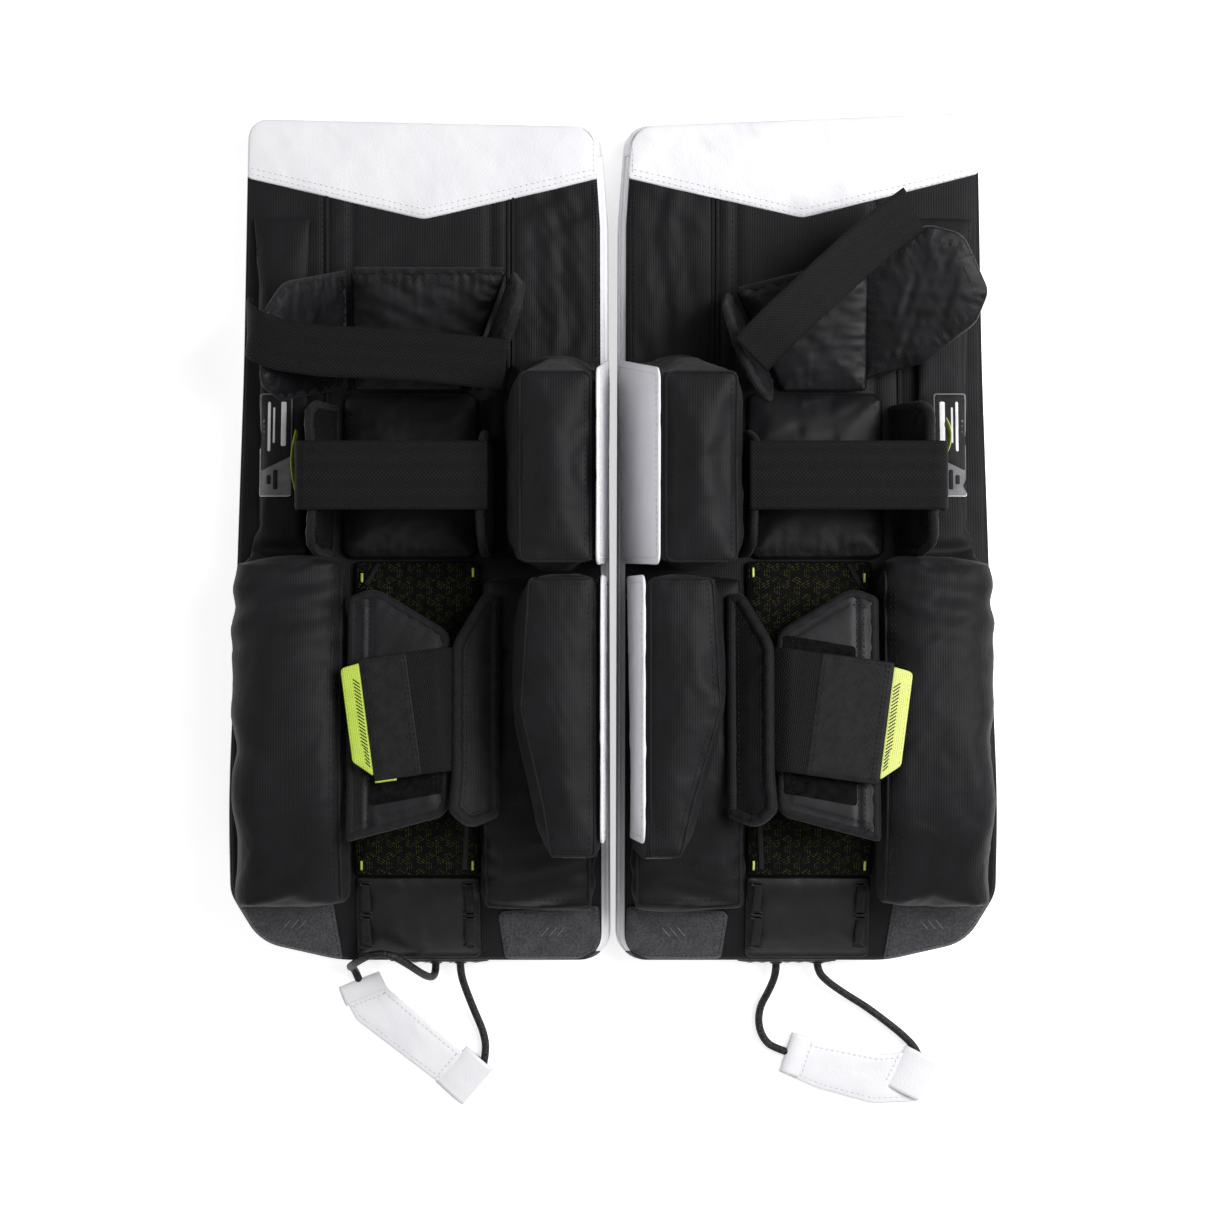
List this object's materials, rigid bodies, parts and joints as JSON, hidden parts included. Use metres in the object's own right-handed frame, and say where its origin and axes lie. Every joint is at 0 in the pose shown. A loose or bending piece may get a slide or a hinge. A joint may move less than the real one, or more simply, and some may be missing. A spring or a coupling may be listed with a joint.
{
  "type": "ice hockey goalie leg pads",
  "caption": "Youth ice hockey goalie leg pads lying face down, with padded rolls, knee and calf wraps, landing blocks, elastic straps and corded toe straps.",
  "frame": {"origin": "on the floor under the middle of the two pads' box, measured without the toe straps and their cords", "axes": "+X to the outer side of the right pad, +Y up the leg towards the thigh end, +Z away from the floor, out of the side that the leg lies on"},
  "size_m": [0.5756, 0.7603, 0.182],
  "materials": {
    "white_synthetic_leather": "satin white synthetic leather",
    "black_nylon": "woven nylon with a soft sheen",
    "patterned_liner": "black knitted liner with a fine lime line pattern",
    "smooth_black_panel": "smooth synthetic leather",
    "flat_lace": "flat woven lace",
    "dark_grey_patch": "grained dark grey synthetic leather",
    "elastic_webbing": "ribbed woven elastic",
    "lime_tab": "soft moulded pull tab",
    "cushion_foam": "closed-cell foam, hidden",
    "board_plastic": "black plastic board",
    "bungee_cord": "braided elastic cord"
  },
  "bodies": {
    "left_pad": {"left_face_cover": "white_synthetic_leather", "left_foam_core": "cushion_foam", "left_stiffener_plate": "board_plastic", "left_back_cover": "black_nylon", "left_thigh_panel": "white_synthetic_leather", "left_outer_roll": "black_nylon", "left_inner_roll": "black_nylon", "left_shin_liner": "patterned_liner", "left_boot_panel": "smooth_black_panel", "left_laces": "flat_lace", "left_sewn_patches": "dark_grey_patch", "left_knee_block": "black_nylon", "left_calf_block": "black_nylon", "left_landing_faces": "white_synthetic_leather", "left_knee_cradle": "black_nylon", "left_knee_cradle_inner_wing": "black_nylon", "left_knee_cradle_outer_wing": "black_nylon", "left_toe_bridge": "board_plastic", "left_toe_tab": "white_synthetic_leather", "left_toe_cord_inner": "bungee_cord", "left_toe_cord_outer": "bungee_cord"},
    "left_knee_wrap": {"left_knee_wrap_center": "black_nylon", "left_knee_wrap_inner_wing": "black_nylon", "left_knee_wrap_outer_wing": "black_nylon"},
    "left_knee_wrap_strap": {"left_knee_wrap_strap": "elastic_webbing"},
    "left_knee_strap": {"left_knee_strap": "elastic_webbing"},
    "left_calf_flap": {"left_calf_flap": "black_nylon"},
    "left_calf_strap": {"left_calf_strap": "elastic_webbing", "left_calf_strap_tab": "lime_tab"},
    "left_calf_wing": {"left_calf_wing": "black_nylon"},
    "right_pad": {"right_face_cover": "white_synthetic_leather", "right_foam_core": "cushion_foam", "right_stiffener_plate": "board_plastic", "right_back_cover": "black_nylon", "right_thigh_panel": "white_synthetic_leather", "right_outer_roll": "black_nylon", "right_inner_roll": "black_nylon", "right_shin_liner": "patterned_liner", "right_boot_panel": "smooth_black_panel", "right_laces": "flat_lace", "right_sewn_patches": "dark_grey_patch", "right_knee_block": "black_nylon", "right_calf_block": "black_nylon", "right_landing_faces": "white_synthetic_leather", "right_knee_cradle": "black_nylon", "right_knee_cradle_inner_wing": "black_nylon", "right_knee_cradle_outer_wing": "black_nylon", "right_toe_bridge": "board_plastic", "right_toe_tab": "white_synthetic_leather", "right_toe_cord_inner": "bungee_cord", "right_toe_cord_outer": "bungee_cord"},
    "right_knee_wrap": {"right_knee_wrap_center": "black_nylon", "right_knee_wrap_inner_wing": "black_nylon", "right_knee_wrap_outer_wing": "black_nylon"},
    "right_knee_wrap_strap": {"right_knee_wrap_strap": "elastic_webbing"},
    "right_knee_strap": {"right_knee_strap": "elastic_webbing"},
    "right_calf_flap": {"right_calf_flap": "black_nylon"},
    "right_calf_strap": {"right_calf_strap": "elastic_webbing", "right_calf_strap_tab": "lime_tab"},
    "right_calf_wing": {"right_calf_wing": "black_nylon"}
  },
  "joints": [
    {"name": "pads_apart", "type": "slide", "parent": "left_pad", "child": "right_pad", "axis": [1, 0, 0], "range_m": [0, 0.3]},
    {"name": "left_knee_wrap_tilt", "type": "hinge", "parent": "left_pad", "child": "left_knee_wrap", "pos_m": [-0.145, 0.112, 0.05531], "axis": [1, 0, 0], "range_deg": [-5, 5]},
    {"name": "left_knee_wrap_strap_peel", "type": "hinge", "parent": "left_knee_wrap", "child": "left_knee_wrap_strap", "pos_m": [-0.081, 0.12913, 0.13824], "axis": [0.0844, 0.9747, 0.2072], "range_deg": [0, 80]},
    {"name": "left_knee_strap_peel", "type": "hinge", "parent": "left_pad", "child": "left_knee_strap", "pos_m": [-0.09189, 0.045, 0.1423], "axis": [0, 1, 0], "range_deg": [0, 80]},
    {"name": "left_calf_flap_open", "type": "hinge", "parent": "left_pad", "child": "left_calf_flap", "pos_m": [-0.08343, -0.12896, 0.11868], "axis": [0, 0.9903, -0.1393], "range_deg": [0, 20]},
    {"name": "left_calf_strap_peel", "type": "hinge", "parent": "left_calf_flap", "child": "left_calf_strap", "pos_m": [-0.104, -0.12458, 0.13549], "axis": [-0.1392, 0.9806, -0.1379], "range_deg": [0, 70]},
    {"name": "left_calf_wing_open", "type": "hinge", "parent": "left_pad", "child": "left_calf_wing", "pos_m": [-0.1971, -0.12777, 0.12713], "axis": [0, -0.9903, 0.1393], "range_deg": [0, 14]},
    {"name": "right_knee_wrap_tilt", "type": "hinge", "parent": "right_pad", "child": "right_knee_wrap", "pos_m": [0.145, 0.112, 0.05531], "axis": [1, 0, 0], "range_deg": [-5, 5]},
    {"name": "right_knee_wrap_strap_peel", "type": "hinge", "parent": "right_knee_wrap", "child": "right_knee_wrap_strap", "pos_m": [0.103, 0.13275, 0.14047], "axis": [0.6366, -0.7544, -0.1603], "range_deg": [0, 80]},
    {"name": "right_knee_strap_peel", "type": "hinge", "parent": "right_pad", "child": "right_knee_strap", "pos_m": [0.09964, 0.045, 0.1423], "axis": [0, -1, 0], "range_deg": [0, 80]},
    {"name": "right_calf_flap_open", "type": "hinge", "parent": "right_pad", "child": "right_calf_flap", "pos_m": [0.08343, -0.12896, 0.11868], "axis": [0, -0.9903, 0.1393], "range_deg": [0, 20]},
    {"name": "right_calf_strap_peel", "type": "hinge", "parent": "right_calf_flap", "child": "right_calf_strap", "pos_m": [0.104, -0.12458, 0.13549], "axis": [-0.1392, -0.9806, 0.1379], "range_deg": [0, 70]},
    {"name": "right_calf_wing_open", "type": "hinge", "parent": "right_pad", "child": "right_calf_wing", "pos_m": [0.1971, -0.12777, 0.12713], "axis": [0, 0.9903, -0.1393], "range_deg": [0, 14]}
  ],
  "couplings": [
    {"joint": "left_calf_wing_open", "follows": "left_calf_strap_peel", "ratio": 0.2},
    {"joint": "right_calf_wing_open", "follows": "right_calf_strap_peel", "ratio": 0.2}
  ]
}
